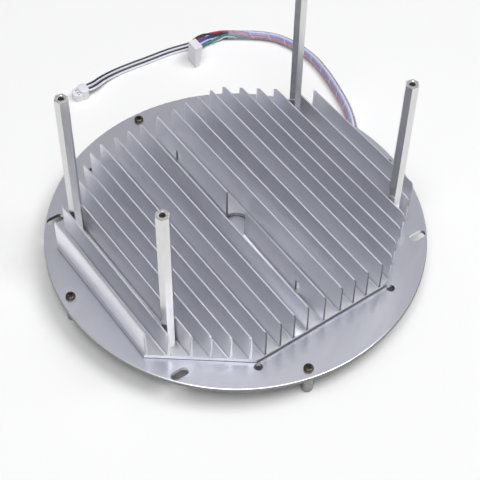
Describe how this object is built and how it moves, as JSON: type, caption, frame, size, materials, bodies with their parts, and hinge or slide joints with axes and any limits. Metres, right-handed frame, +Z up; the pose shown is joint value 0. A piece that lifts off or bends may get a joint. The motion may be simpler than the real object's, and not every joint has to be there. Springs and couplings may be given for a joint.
{
  "type": "finned heat sink",
  "caption": "Round lamp heat sink: a disc on legs with an octagonal finned extrusion, hexagonal posts, a lamp board below and a wrapped cable with plugs.",
  "frame": {"origin": "on the surface that the legs stand on, below the disc's centre", "axes": "+Z up along the posts, Y along the fins, X across the fins"},
  "size_m": [0.2572, 0.2899, 0.134],
  "materials": {
    "disc_aluminium": "satin rolled sheet",
    "fin_aluminium": "mill finish extrusion",
    "post_metal": "bright plated hexagon",
    "leg_metal": "bright plated round",
    "dark_screw": "black zinc",
    "zinc_screw": "bright zinc",
    "board_white": "white solder mask",
    "emitter": "clear silicone dome over a pale base",
    "white_plastic": "natural white nylon",
    "cable_wrap": "clear spiral wrap over coloured wires",
    "wire_red": "vinyl",
    "wire_black": "vinyl",
    "wire_green": "vinyl",
    "wire_blue": "vinyl",
    "wire_white": "vinyl"
  },
  "bodies": {
    "root": {"base_disc": "disc_aluminium", "fin_extrusion": "fin_aluminium", "hex_post_1": "post_metal", "hex_post_2": "post_metal", "hex_post_3": "post_metal", "hex_post_4": "post_metal", "post_screws": "zinc_screw", "support_leg_1": "leg_metal", "support_leg_2": "leg_metal", "support_leg_3": "leg_metal", "support_leg_4": "leg_metal", "rim_screws": "dark_screw", "plate_screws": "zinc_screw", "led_board": "board_white", "board_screws": "zinc_screw", "led_emitter_1": "emitter", "led_emitter_2": "emitter", "led_emitter_3": "emitter", "led_emitter_4": "emitter", "led_emitter_5": "emitter", "led_emitter_6": "emitter", "led_emitter_7": "emitter", "wire_header": "white_plastic", "cable_bundle": "cable_wrap", "wire_red": "wire_red", "wire_black": "wire_black", "wire_green": "wire_green", "wire_blue": "wire_blue", "wire_white": "wire_white", "lane_wire_1": "wire_black", "lane_wire_2": "wire_white", "lane_wire_3": "wire_black", "lane_wire_4": "wire_white", "plug_a": "white_plastic", "plug_b": "white_plastic"}
  },
  "joints": []
}
